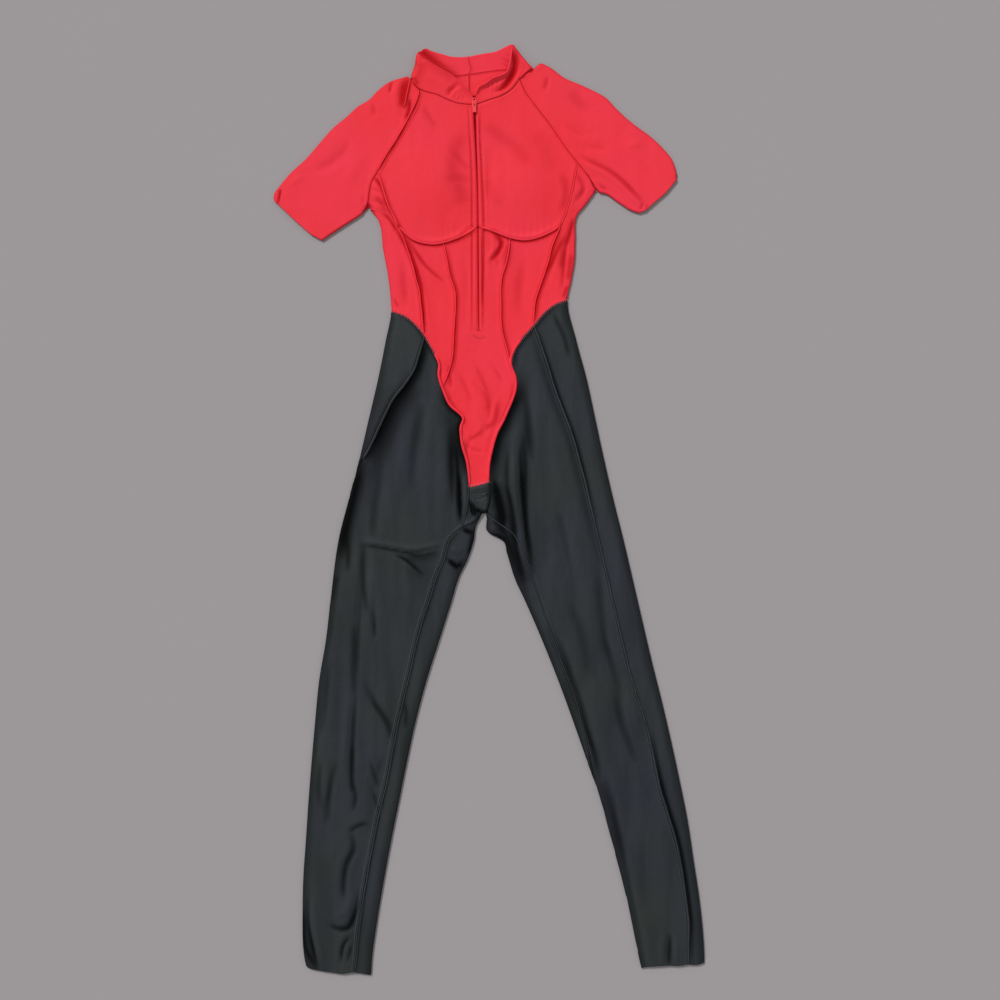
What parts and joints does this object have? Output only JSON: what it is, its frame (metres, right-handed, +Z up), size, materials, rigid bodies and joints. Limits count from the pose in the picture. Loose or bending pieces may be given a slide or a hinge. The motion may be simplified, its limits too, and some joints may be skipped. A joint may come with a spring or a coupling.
{
  "type": "workout jumpsuit",
  "caption": "Short-sleeved knit workout jumpsuit laid flat, with a stand collar, concealed front zip, seamed red top and long fitted black legs.",
  "frame": {"origin": "middle of the laid garment's bounding box, on the surface it lies on", "axes": "+Y from the hems to the collar, +X to the right as seen from above, +Z up away from the surface"},
  "size_m": [0.6443, 1.3936, 0.0119],
  "materials": {
    "red_knit": "matte stretch knit",
    "black_knit": "matte stretch knit with a faint sheen",
    "zip_tape": "woven tape",
    "zip_plastic": "painted zip parts"
  },
  "bodies": {
    "garment": {"collar_left": "red_knit", "collar_right": "red_knit", "sleeve_left": "red_knit", "sleeve_right": "red_knit", "bust_left": "red_knit", "bust_right": "red_knit", "front_centre": "red_knit", "front_mid_left": "red_knit", "front_mid_right": "red_knit", "front_side_left": "red_knit", "front_side_right": "red_knit", "back_left": "red_knit", "back_right": "red_knit", "leg_front_left": "black_knit", "leg_front_right": "black_knit", "leg_back_left": "black_knit", "leg_back_right": "black_knit", "gusset": "black_knit", "zip_tape_left": "zip_tape", "zip_tape_right": "zip_tape", "zip_coil": "zip_plastic", "zip_slider": "zip_plastic"},
    "tab": {"pull_tab": "zip_plastic"}
  },
  "joints": [
    {"name": "pull_tab_hinge", "type": "hinge", "parent": "garment", "child": "tab", "pos_m": [-0.0218, 0.607, 0.008], "axis": [-1, 0, 0], "range_deg": [0, 150]}
  ]
}
